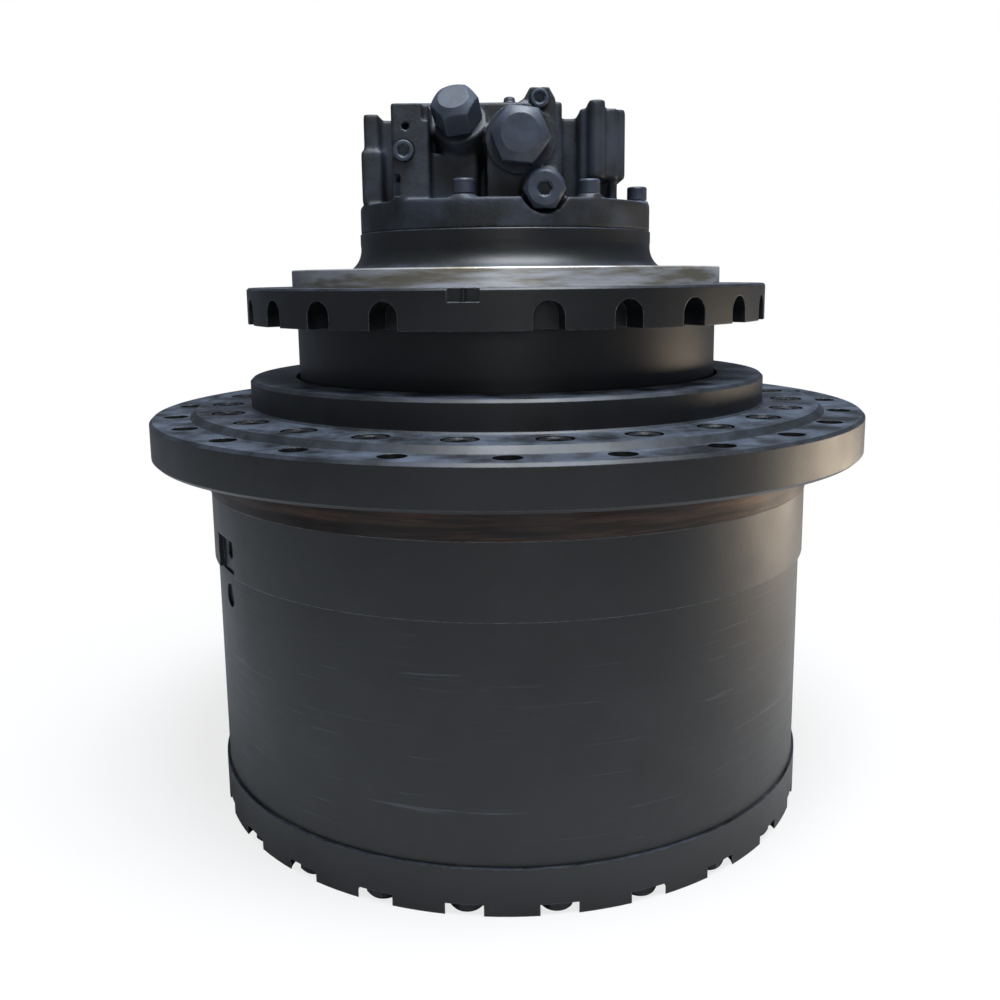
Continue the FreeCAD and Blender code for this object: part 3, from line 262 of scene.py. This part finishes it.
def ring_paint(sheet):
    """Paint over a turned shell: the lathe's rings show through, with rubbed streaks low down."""
    marks = turning_marks(sheet, 900.0)
    scuff = sheet.noise(1.0, 4.0, 0.6, where=sheet.scaled(7.0, 7.0, 160.0)).ramp(0.60, 0.78)
    colour = sheet.blend(scuff * 0.30, paint_colour(sheet, dusting_and_highlight=0.1), PAINT_WORN)
    return {
        "Base Color": colour,
        "Roughness": 0.36 + marks * 0.12 + sheet.noise(8.0, 4.0) * 0.16,
        "Normal": relief(sheet, marks * 0.35 + paint_skin(sheet) * 0.65, 0.0004, 0.45),
    }


def hub_paint(sheet):
    """Painted hub with an unpainted register band, oiled and browned by flash rust."""
    height = sheet.along("Z")
    ragged = sheet.noise(26.0, 4.0) * 0.004 - 0.002
    band = sheet.between(height + ragged, *PILOT_BAND, 0.0008)
    marks = turning_marks(sheet)
    streak = sheet.noise(1.0, 4.0, 0.65, where=sheet.scaled(5.0, 5.0, 90.0))
    rust = sheet.blend(streak.ramp(0.40, 0.72), RUST_DARK, RUST_LIGHT)
    bare = band * (0.55 + sheet.noise(12.0, 3.0).ramp(0.3, 0.7) * 0.45)
    return {
        "Base Color": sheet.blend(bare, paint_colour(sheet), rust),
        "Metallic": bare * 0.75,
        "Roughness": 0.34 + sheet.noise(14.0, 4.0) * 0.24 + band * 0.06,
        "Normal": relief(sheet, paint_skin(sheet) * 0.6 + marks * band * 0.5, 0.0004, 0.5),
    }


def spindle_paint(sheet):
    """Painted spindle casting with its frame pilot left bare, oversprayed towards the motor barrel."""
    height = sheet.along("Z")
    band = sheet.between(height, FRAME_FACE + 0.0004, FRAME_PILOT_TOP + 0.0012, 0.0006)
    level = {0: sheet.scaled(1.0, 1.0, 0.0)}
    from_axis = sheet.node("ShaderNodeVectorMath", {"operation": "LENGTH"}, level, out="Value")
    spray = sheet.noise(13.0, 4.0, 0.6)
    mist = (from_axis + spray * 0.05).ramp(0.196, 0.236)
    # the bare band gives way to paint towards the left (-X), so the pilot is darker on that side
    side = (sheet.along("X") + sheet.noise(7.0, 4.0) * 0.16).ramp(-0.14, -0.01)
    bare = band * (0.25 + mist * 0.75) * (0.22 + side * 0.78)
    stain = sheet.noise(1.0, 4.0, 0.6, where=sheet.scaled(9.0, 9.0, 70.0))
    metal = sheet.blend(stain.ramp(0.40, 0.66), BARE_METAL, BARE_OLIVE)
    marks = turning_marks(sheet)
    return {
        "Base Color": sheet.blend(bare, paint_colour(sheet, dusting_and_highlight=0.36), metal),
        "Metallic": bare * 0.7,
        "Roughness": 0.34 + spray * 0.16,
        "Normal": relief(sheet, paint_skin(sheet) * 0.6 + marks * bare * 0.5, 0.0005, 0.5),
    }


def oxide_steel(sheet):
    """Blackened screw steel, rubbed bright on its corners."""
    blotch = sheet.noise(90.0, 4.0)
    colour = sheet.blend(blotch.ramp(0.3, 0.7), rgb(22, 23, 25), rgb(44, 45, 48))
    colour = sheet.blend(sheet.edges(0.0009) * blotch.ramp(0.35, 0.6) * 0.6, colour, rgb(120, 120, 122))
    return {
        "Base Color": colour,
        "Metallic": 0.25 + blotch * 0.2,
        "Roughness": 0.36 + sheet.noise(300.0, 3.0) * 0.2,
        "Normal": relief(sheet, sheet.noise(500.0, 2.0), 0.0002, 0.5, radius=0.0006),
    }


def worked_metal(dark, light, rough, metallic=1.0, grain=(4.0, 4.0, 1200.0)):
    """Finish builder for the inner parts: two tones, machining grain and edge polish."""
    def build(sheet):
        lines = sheet.noise(1.0, 3.0, 0.55, where=sheet.scaled(*grain))
        cloud = sheet.noise(30.0, 4.0)
        colour = sheet.blend(cloud.ramp(0.3, 0.7), dark, light)
        return {
            "Base Color": sheet.blend(sheet.edges(0.0009) * 0.4, colour, light),
            "Metallic": metallic - cloud * 0.1,
            "Roughness": rough + lines * 0.14,
            "Normal": relief(sheet, lines, 0.00015, 0.5, radius=0.0007),
        }
    return build


def make_finishes():
    gloss = {"Specular_IOR_Level": 0.42}
    worked = {
        "gear_steel": worked_metal(rgb(150, 151, 154), rgb(190, 191, 194), 0.24),
        "bearing_steel": worked_metal(rgb(178, 180, 184), rgb(212, 213, 216), 0.14),
        "carrier_iron": worked_metal(rgb(92, 93, 96), rgb(126, 127, 130), 0.46, grain=(160.0, 160.0, 160.0)),
        "bronze": worked_metal(rgb(166, 118, 62), rgb(206, 160, 92), 0.28),
        "friction": worked_metal(rgb(86, 74, 60), rgb(120, 104, 84), 0.72, 0.2, grain=(420.0, 420.0, 420.0)),
        "seal_iron": worked_metal(rgb(128, 128, 130), rgb(168, 168, 170), 0.2),
    }
    finishes = {name: finish(name, build) for name, build in worked.items()}
    finishes["paint"] = finish("hub_paint", hub_paint, **gloss)
    finishes["plain_paint"] = finish("plain_paint", paint, **gloss)
    finishes["cast_paint"] = finish("cast_paint", cast_paint, **gloss)
    finishes["cap_paint"] = finish("cap_paint", cap_paint, **gloss)
    finishes["ring_paint"] = finish("ring_paint", ring_paint, **gloss)
    finishes["spindle_metal"] = finish("spindle_metal", spindle_paint, **gloss)
    finishes["screw_steel"] = finish("screw_steel", oxide_steel, Specular_IOR_Level=0.35)
    return finishes


# ---- shapes --------------------------------------------------------------------------------------
def hexagonal(flats):
    """Radius of a hexagon at an angle, for its width across flats."""
    def radius(angle):
        within = (angle + math.pi / 6) % (math.pi / 3) - math.pi / 6
        return flats / 2 / math.cos(within)
    return radius


def knurled(radius, ridges, depth):
    def at(angle):
        return radius - depth * (0.5 + 0.5 * math.cos(ridges * angle))
    return at


def crowned(flats, cone):
    """Hexagon cut back by a turned chamfer of a given radius."""
    hexagon = hexagonal(flats)
    return lambda angle: min(hexagon(angle), cone)


def skin(mesh, rings, spokes, transform):
    """Adds closed rings of points, each (height, radius or radius function), skinned one to the next."""
    loops = []
    for height, radius in rings:
        angles = [2 * math.pi * spoke / spokes for spoke in range(spokes)]
        reach = radius if callable(radius) else (lambda angle: radius)
        points = [Vector((reach(a) * math.cos(a), reach(a) * math.sin(a), height)) for a in angles]
        loops.append([mesh.verts.new(transform @ point) for point in points])
    for lower, upper in zip(loops, loops[1:]):
        for spoke in range(spokes):
            after = (spoke + 1) % spokes
            mesh.faces.new((lower[spoke], lower[after], upper[after], upper[spoke]))
    mesh.faces.new(list(reversed(loops[0])))
    mesh.faces.new(loops[-1])


def piece(name, mesh, material, body, replaced, crease=32.0):
    """Turns a bmesh into a named piece that rides on a body and stands for a CAD node."""
    bmesh.ops.recalc_face_normals(mesh, faces=mesh.faces)
    data = bpy.data.meshes.new(name)
    mesh.to_mesh(data)
    mesh.free()
    made = bpy.data.objects.new(name, data)
    bpy.context.scene.collection.objects.link(made)
    data.materials.append(material)
    data.shade_smooth()
    data.set_sharp_from_angle(angle=math.radians(crease))
    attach(made, body)
    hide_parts(replaced)
    return made


def upright(x, y, z, turn=0.0):
    return Matrix.Translation((x, y, z)) @ Matrix.Rotation(turn, 4, "Z")


def round_row(circle, phase, count, height, flip=False):
    """Places on a bolt circle, each turned as a wrench left it; flipped ones look down."""
    places = []
    hand_turn = 5.1
    for number in range(count):
        angle = phase + 2 * math.pi * number / count
        spot = upright(circle * math.cos(angle), circle * math.sin(angle), height, hand_turn * number)
        places.append(spot @ Matrix.Rotation(math.pi, 4, "X") if flip else spot)
    return places


def facing(x, y, z, direction=(0.0, -1.0, 0.0), turn=0.0):
    """Place whose +Z looks along a direction."""
    aim = Vector((0.0, 0.0, 1.0)).rotation_difference(Vector(direction)).to_matrix().to_4x4()
    return Matrix.Translation((x, y, z)) @ aim @ Matrix.Rotation(turn, 4, "Z")


def socket_screw(radius, head, shank_radius, shank, flats, knurl=0.0):
    """Rings of a socket-head cap screw with its seat at height 0."""
    side = knurled(radius, 40, knurl) if knurl else radius
    socket = hexagonal(flats)
    return [
        (-shank, shank_radius),
        (0.0, shank_radius),
        (0.0, radius - 0.0006),
        (0.0006, side),
        (head - 0.0030, side),
        (head - 0.0024, radius),
        (head - 0.0014, radius - 0.0002),
        (head - 0.0004, radius - 0.0010),
        (head, radius - 0.0020),
        (head, flats * 0.66),
        (head - 0.0012, flats * 0.58),
        (head - 0.0014, socket),
        (head * 0.5, socket),
        (head * 0.44, flats * 0.1),
    ]


def hex_bolt(flats, head, shank_radius, shank):
    """Rings of a low hexagon head with a washer face and a turned chamfer."""
    crown = flats * 0.5774
    rings = [(-shank, shank_radius), (0.0, shank_radius), (0.0, flats * 0.47), (0.0006, flats * 0.48),
             (0.0008, hexagonal(flats))]
    for step in range(7):
        rings.append((head * (0.62 + 0.38 * step / 6), crowned(flats, crown - flats * 0.020 * step)))
    return rings + [(head, flats * 0.42)]


def hex_cap(flats, head, neck, neck_length, end_face=0.36, socket=0.0):
    """Rings of a valve cap: neck, hexagon, turned chamfer and round end face, with or without a socket."""
    hexagon = hexagonal(flats)
    corner, chamfer = flats * 0.58, flats * 0.16
    rings = [
        (-neck_length, neck),
        (0.0, neck),
        (0.0, flats * 0.47),
        (0.0007, flats * 0.485),
        (0.0014, hexagon),
    ]
    steps = 12
    for step in range(steps + 1):
        share = step / steps
        cone = corner + (flats * end_face - corner) * share
        rings.append((head - chamfer * (1.0 - share), crowned(flats, cone)))
    if not socket:
        return rings + [(head, flats * 0.05)]
    recess = hexagonal(socket)
    return rings + [(head, socket * 0.68), (head - 0.0012, socket * 0.58), (head - 0.0014, recess),
                    (head - 0.012, recess), (head - 0.0125, socket * 0.1)]


def round_plug(radius, proud, depth, flats):
    """Rings of a round plug with a hexagon socket, its seat at height 0."""
    socket = hexagonal(flats)
    return [
        (-depth, radius - 0.0008),
        (0.0, radius - 0.0008),
        (0.0, radius - 0.0004),
        (0.0006, radius),
        (proud - 0.0016, radius),
        (proud - 0.0004, radius - 0.0008),
        (proud, radius - 0.0020),
        (proud, flats * 0.68),
        (proud - 0.0012, flats * 0.58),
        (proud - 0.0014, socket),
        (proud - depth * 0.4, socket),
        (proud - depth * 0.45, flats * 0.12),
    ]


# ---- the screws, caps and plugs ------------------------------------------------------------------
def rows_of(name, rings, spokes, places, material, body, replaced):
    """One piece that holds the same turned shape at each place."""
    mesh = bmesh.new()
    for spot in places:
        skin(mesh, rings, spokes, spot)
    return piece(name, mesh, material, body, replaced)


def dress_screws(finishes):
    """Drum screws, cover bolts and the screws that hold the motor head."""
    oxide = finishes["screw_steel"]
    drum_screw = socket_screw(radius=0.015, head=0.0197, shank_radius=0.010, shank=0.174, flats=0.017)
    drum_places = round_row(SCREW_CIRCLE, SCREW_PHASE, SCREWS, SCREW_SEAT)
    rows_of("drum_screws", drum_screw, 48, drum_places, oxide, "drum", "hub_screws")
    cover_bolt = hex_bolt(flats=0.030, head=0.010, shank_radius=0.010, shank=0.068)
    cover_places = round_row(SCREW_CIRCLE, SCREW_PHASE, SCREWS, NOTCH_ROOF, flip=True)
    rows_of("cover_hex_bolts", cover_bolt, 48, cover_places, oxide, "drum", "cover_bolts")
    head_screw = socket_screw(radius=0.0105, head=0.014, shank_radius=0.007, shank=0.058, flats=0.012,
                              knurl=0.0003)
    head_places = []
    for turn in HEAD_BOLT_TURNS:
        angle = FRONT + math.radians(turn)
        head_places.append(upright(HEAD_BOLT_CIRCLE * math.cos(angle), HEAD_BOLT_CIRCLE * math.sin(angle),
                                   HEAD_BOLT_SEAT, angle))
    rows_of("head_screws", head_screw, 120, head_places, finishes["cap_paint"], "frame_side", "head_bolts")


def dress_caps(finishes):
    """Two large hexagon caps of the valves and the three plugs beside them."""
    black = finishes["cap_paint"]
    relief_cap = hex_cap(flats=0.041, head=0.031, neck=CAP_NECK, neck_length=0.024)
    rows_of("relief_hex_cap", relief_cap, 96, [facing(*RELIEF_SEAT, RELIEF_LEAN, SIDE_UP)],
            black, "frame_side", "relief_cap")
    spool_cap = hex_cap(flats=0.050, head=0.038, neck=CAP_NECK, neck_length=0.021)
    rows_of("spool_hex_cap", spool_cap, 96, [facing(*SPOOL_SEAT, turn=SIDE_UP - SPOOL_TURN)],
            black, "frame_side", "spool_cap")
    ear_plug = round_plug(radius=0.009, proud=0.005, depth=0.013, flats=0.009)
    pad_plug = round_plug(radius=0.010, proud=0.005, depth=0.013, flats=0.010)
    deck_plug = hex_cap(flats=0.036, head=0.026, neck=CAP_NECK, neck_length=0.017, end_face=0.43,
                        socket=0.012)
    mesh = bmesh.new()
    skin(mesh, ear_plug, 72, facing(*EAR_PLUG))
    skin(mesh, pad_plug, 72, facing(*PAD_PLUG))
    skin(mesh, deck_plug, 96, facing(*DECK_PLUG, turn=SIDE_UP))
    piece("head_socket_plugs", mesh, black, "frame_side", "head_plugs")


# ---- the cast motor head -------------------------------------------------------------------------
def evaluated(source):
    """Mesh of an object as its modifiers leave it."""
    graph = bpy.context.evaluated_depsgraph_get()
    return bpy.data.meshes.new_from_object(source.evaluated_get(graph), depsgraph=graph)


def dress_head(finishes):
    """Sand-cast head: the solid's faces run together with cast fillets, machined seats stay flat."""
    grain_size, seat_margin, fillet_start = 0.0016, 0.0012, 0.003
    solid = nodes["port_block"]
    casting = bpy.data.objects.new("motor_head_casting", solid.data.copy())
    bpy.context.scene.collection.objects.link(casting)
    weld = casting.modifiers.new("joined", "WELD")
    weld.merge_threshold = 0.00002
    grain = casting.modifiers.new("grain", "REMESH")
    grain.mode = "VOXEL"
    grain.voxel_size = grain_size
    casting.data = evaluated(casting)
    casting.modifiers.clear()
    cast = casting.vertex_groups.new(name="cast")
    machined = [(1, VALVE_FACE), (1, VALVE_PLATE), (1, PAD_FACE), (1, PORT_FACE), (2, HEAD_JOINT)]
    for vertex in casting.data.vertices:
        gap = min(abs(vertex.co[axis] - level) for axis, level in machined)
        share = min(1.0, max(0.0, (gap - seat_margin) / fillet_start))
        cast.add([vertex.index], share, "REPLACE")
    fillet = casting.modifiers.new("fillet", "SMOOTH")
    fillet.factor = 0.6
    fillet.iterations = 14
    fillet.vertex_group = "cast"
    casting.data = evaluated(casting)
    casting.modifiers.clear()
    casting.data.materials.clear()
    casting.data.materials.append(finishes["cast_paint"])
    casting.data.shade_smooth()
    casting.data.set_sharp_from_angle(angle=math.radians(48.0))
    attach(casting, "frame_side")
    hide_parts("port_block")


# ---- finishes of the nodes that stay -------------------------------------------------------------
def dress_nodes(finishes):
    """Gives each CAD node the finish of its material slot; small parts take the plain paint."""
    plain = ("end_cover", "side_plugs", "cover_plugs", "index_pin")
    for row in frame["record"]["subparts"]:
        shown = nodes[row["node"]]
        material = finishes["plain_paint" if row["node"] in plain else row["material_slot"]]
        shown.data.materials.clear()
        shown.data.materials.append(material)


# ---- studio --------------------------------------------------------------------------------------
def seen_directly(sheet):
    """1 for camera rays, 0 for every ray that lights the drive."""
    return sheet.node("ShaderNodeLightPath", out="Is Camera Ray")


def studio_air():
    """Cool even light from all round, seen as pure white behind the drive."""
    world = bpy.data.worlds.new("studio_air")
    bpy.context.scene.world = world
    world.use_nodes = True
    tree = world.node_tree
    tree.nodes.clear()
    sheet = Sheet(tree)
    plain = sheet.node("ShaderNodeBackground", {}, {"Color": rgb(216, 228, 250), "Strength": 0.20})
    white = sheet.node("ShaderNodeBackground", {}, {"Color": (1.0, 1.0, 1.0, 1.0), "Strength": 1.0})
    mixed = sheet.node("ShaderNodeMixShader", {}, {0: seen_directly(sheet), 1: plain, 2: white})
    sheet.node("ShaderNodeOutputWorld", {}, {"Surface": mixed})


def studio_floor():
    """White sheet; far from the drive it goes over into the white of the air."""
    reach, cuts, below = 14.0, 6, -0.0004
    mesh = bmesh.new()
    signs = ((-1, -1), (1, -1), (1, 1), (-1, 1))
    mesh.faces.new([mesh.verts.new((x * reach, y * reach, below)) for x, y in signs])
    bmesh.ops.subdivide_edges(mesh, edges=mesh.edges, cuts=cuts, use_grid_fill=True)
    data = bpy.data.meshes.new("studio_floor")
    mesh.to_mesh(data)
    mesh.free()
    floor = bpy.data.objects.new("studio_floor", data)
    bpy.context.scene.collection.objects.link(floor)
    material = bpy.data.materials.new("floor_card")
    material.use_nodes = True
    tree = material.node_tree
    tree.nodes.clear()
    sheet = Sheet(tree)
    card = sheet.blend(sheet.noise(3.0, 3.0), rgb(246, 246, 246), rgb(252, 252, 252))
    matt = sheet.node("ShaderNodeBsdfDiffuse", {}, {"Color": card})
    glow = sheet.node("ShaderNodeEmission", {}, {"Color": (1.0, 1.0, 1.0, 1.0), "Strength": 1.0})
    away = sheet.node("ShaderNodeVectorMath", {"operation": "LENGTH"}, {0: sheet.place()}, out="Value")
    share = seen_directly(sheet) * (0.78 + away.ramp(0.34, 0.95) * 0.22)
    mixed = sheet.node("ShaderNodeMixShader", {}, {0: share, 1: matt, 2: glow})
    sheet.node("ShaderNodeOutputMaterial", {}, {"Surface": mixed})
    data.materials.append(material)


def softbox(name, place, target, width, height, power, colour):
    """Rectangular lamp aimed at a target; power in watts."""
    lamp = bpy.data.lights.new(name, "AREA")
    lamp.shape = "RECTANGLE"
    lamp.size, lamp.size_y = width, height
    lamp.energy = power
    lamp.color = colour
    made = bpy.data.objects.new(name, lamp)
    bpy.context.scene.collection.objects.link(made)
    aim = Vector(target) - Vector(place)
    made.rotation_euler = aim.to_track_quat("-Z", "Y").to_euler()
    made.location = place


def studio_lights():
    """Broad cool light from above, low warm light from the right, weak fill from the front."""
    head, low = (0.0, 0.0, 0.60), (0.0, 0.0, 0.05)
    softbox("overhead", (0.20, -0.60, 2.2), head, width=1.1, height=0.8, power=68.0,
            colour=(0.88, 0.94, 1.0))
    softbox("right_warm", (1.5, 0.25, 0.14), low, width=0.9, height=0.24, power=8.0,
            colour=(1.0, 0.82, 0.62))
    softbox("front_fill", (0.15, -2.9, 0.95), head, width=0.8, height=0.5, power=4.5,
            colour=(1.0, 0.99, 0.98))


def place_camera():
    """Level stand-off in front of the drive, a little above its sprocket flange, looking down."""
    stand = (0.0, -1.14006, 0.55362)
    pitch, roll = math.radians(9.571), math.radians(0.594)
    ahead = Vector((0.0, math.cos(pitch), -math.sin(pitch)))
    lens_up = Vector((0.0, math.sin(pitch), math.cos(pitch)))
    right = Vector((1.0, 0.0, 0.0))
    tilted_up = lens_up * math.cos(roll) + right * math.sin(roll)
    tilted_right = right * math.cos(roll) - lens_up * math.sin(roll)
    axes = Matrix((tilted_right, tilted_up, -ahead)).transposed().to_4x4()
    lens = bpy.data.cameras.new("studio_camera")
    lens.sensor_width = 36.0
    lens.lens = 36.835
    lens.shift_x, lens.shift_y = -0.0075, -0.05
    lens.clip_end = 90.0
    camera = bpy.data.objects.new("studio_camera", lens)
    bpy.context.scene.collection.objects.link(camera)
    camera.matrix_world = Matrix.Translation(stand) @ axes
    bpy.context.scene.camera = camera


# ---- the whole scene -----------------------------------------------------------------------------
place_camera()
studio_air()
studio_floor()
studio_lights()
finishes = make_finishes()
dress_nodes(finishes)
dress_screws(finishes)
dress_caps(finishes)
dress_head(finishes)
bpy.context.scene.view_settings.view_transform = "Standard"
